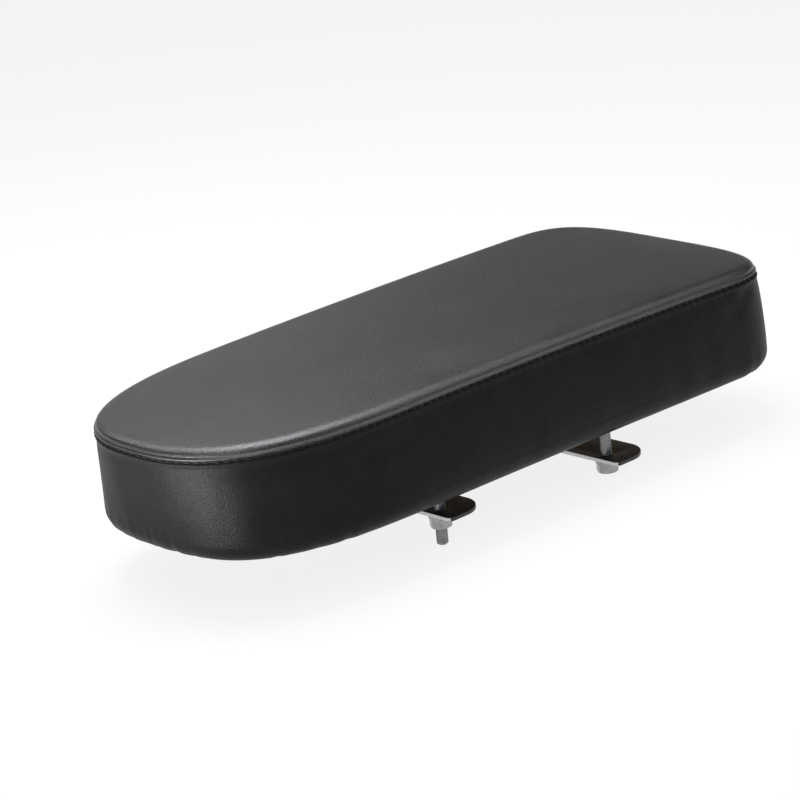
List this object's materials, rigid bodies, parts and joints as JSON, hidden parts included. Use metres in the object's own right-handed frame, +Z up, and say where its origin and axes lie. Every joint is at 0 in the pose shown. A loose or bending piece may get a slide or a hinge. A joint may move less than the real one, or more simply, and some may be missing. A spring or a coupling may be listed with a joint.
{
  "type": "rear rack cushion seat",
  "caption": "Long padded seat with a rounded nose, sewn black leathercloth over foam on a board, held on a cycle rack by crosswise clamp strips.",
  "frame": {"origin": "middle of the underside, on the face of the hem that lies on the rack rails", "axes": "+X to the rounded nose, which points to the rider, +Y to the rider's left, +Z up"},
  "size_m": [0.3833, 0.1638, 0.087],
  "materials": {
    "leathercloth": "black leathercloth, fine grain, soft sheen",
    "foam": "open-cell upholstery foam",
    "plywood": "raw plywood",
    "staple_wire": "galvanised wire",
    "black_steel": "black coated strip, bare on its cut edges",
    "zinc_steel": "bright zinc plate"
  },
  "bodies": {
    "root": {"top_panel": "leathercloth", "side_band": "leathercloth", "foam_core": "foam", "base_board": "plywood", "hem_staples": "staple_wire", "front_clamp_strip": "black_steel", "rear_clamp_strip": "black_steel", "front_clamp_bolts": "zinc_steel", "rear_clamp_bolts": "zinc_steel", "front_clamp_washers": "zinc_steel", "rear_clamp_washers": "zinc_steel", "front_clamp_nuts": "zinc_steel", "rear_clamp_nuts": "zinc_steel"}
  },
  "joints": []
}
